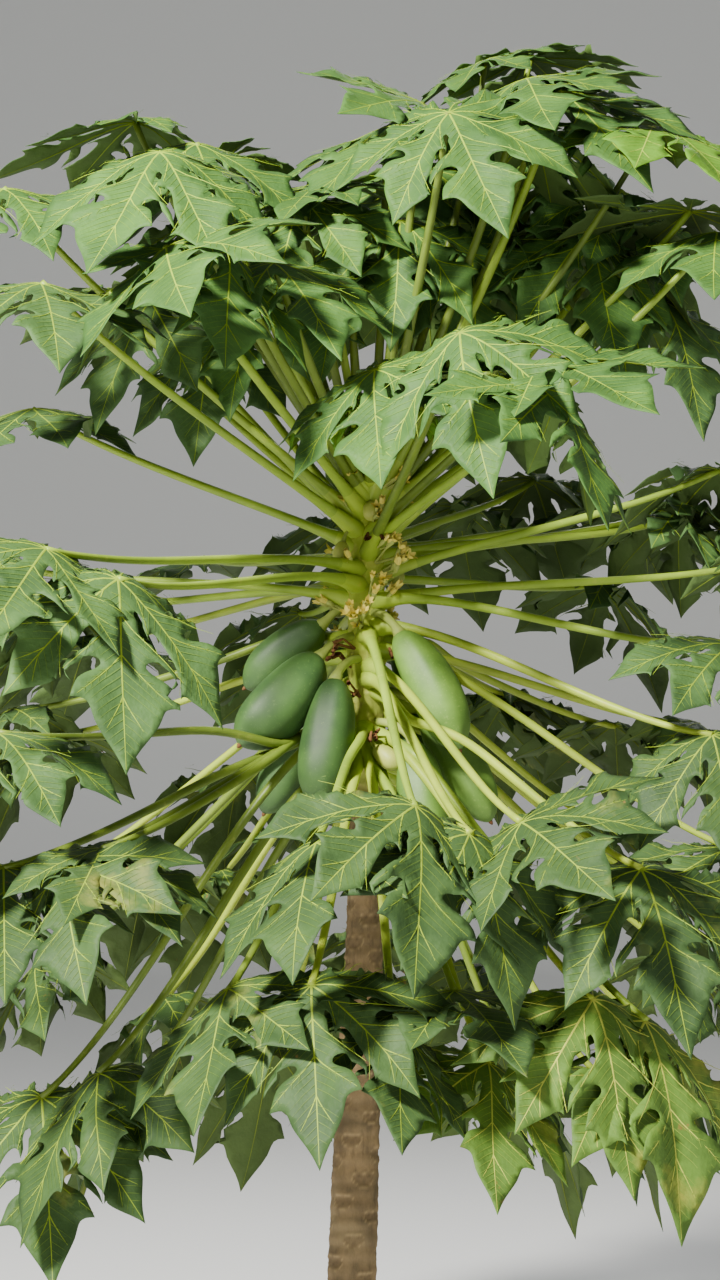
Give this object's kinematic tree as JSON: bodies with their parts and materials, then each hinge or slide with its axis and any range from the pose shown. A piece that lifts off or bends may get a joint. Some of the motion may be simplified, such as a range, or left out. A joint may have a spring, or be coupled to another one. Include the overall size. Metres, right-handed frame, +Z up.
{
  "type": "papaya tree",
  "caption": "Rooted papaya tree: bare leaning stem with leaf scars under a rounded crown of long-stalked, deeply lobed, drooping leaves.",
  "frame": {"origin": "centre of the flat cut under the stem, at ground level", "axes": "+Z up along the stem, +X to the right of the side seen in the picture, -Y towards the viewer of the picture"},
  "size_m": [2.2035, 2.0796, 3.3389],
  "materials": {
    "bark": "smooth tan and grey-brown bark with leaf scars",
    "stalk": "smooth yellow-green leaf stalk",
    "leaf": "satin green leaf with pale veins"
  },
  "bodies": {
    "root": {"leaf_blade_04": "leaf", "leaf_blade_08": "leaf", "leaf_blade_12": "leaf", "leaf_blade_13": "leaf", "leaf_blade_14": "leaf", "leaf_blade_15": "leaf", "leaf_blade_19": "leaf", "leaf_blade_24": "leaf", "leaf_blade_25": "leaf", "leaf_blade_26": "leaf", "leaf_blade_29": "leaf", "leaf_mass_01": "leaf", "leaf_mass_02": "leaf", "leaf_mass_03": "leaf", "leaf_mass_05": "leaf", "leaf_mass_06": "leaf", "leaf_mass_07": "leaf", "leaf_mass_09": "leaf", "leaf_mass_10": "leaf", "leaf_mass_11": "leaf", "leaf_mass_16": "leaf", "leaf_mass_17": "leaf", "leaf_mass_18": "leaf", "leaf_mass_20": "leaf", "leaf_mass_21": "leaf", "leaf_mass_22": "leaf", "leaf_mass_23": "leaf", "leaf_mass_27": "leaf", "leaf_mass_28": "leaf", "leaf_stalk_01": "stalk", "leaf_stalk_02": "stalk", "leaf_stalk_03": "stalk", "leaf_stalk_04": "stalk", "leaf_stalk_05": "stalk", "leaf_stalk_06": "stalk", "leaf_stalk_07": "stalk", "leaf_stalk_08": "stalk", "leaf_stalk_09": "stalk", "leaf_stalk_10": "stalk", "leaf_stalk_11": "stalk", "leaf_stalk_12": "stalk", "leaf_stalk_13": "stalk", "leaf_stalk_14": "stalk", "leaf_stalk_15": "stalk", "leaf_stalk_16": "stalk", "leaf_stalk_17": "stalk", "leaf_stalk_18": "stalk", "leaf_stalk_19": "stalk", "leaf_stalk_20": "stalk", "leaf_stalk_21": "stalk", "leaf_stalk_22": "stalk", "leaf_stalk_23": "stalk", "leaf_stalk_24": "stalk", "leaf_stalk_25": "stalk", "leaf_stalk_26": "stalk", "leaf_stalk_27": "stalk", "leaf_stalk_28": "stalk", "leaf_stalk_29": "stalk", "stem": "bark", "young_tip": "leaf"}
  },
  "joints": []
}
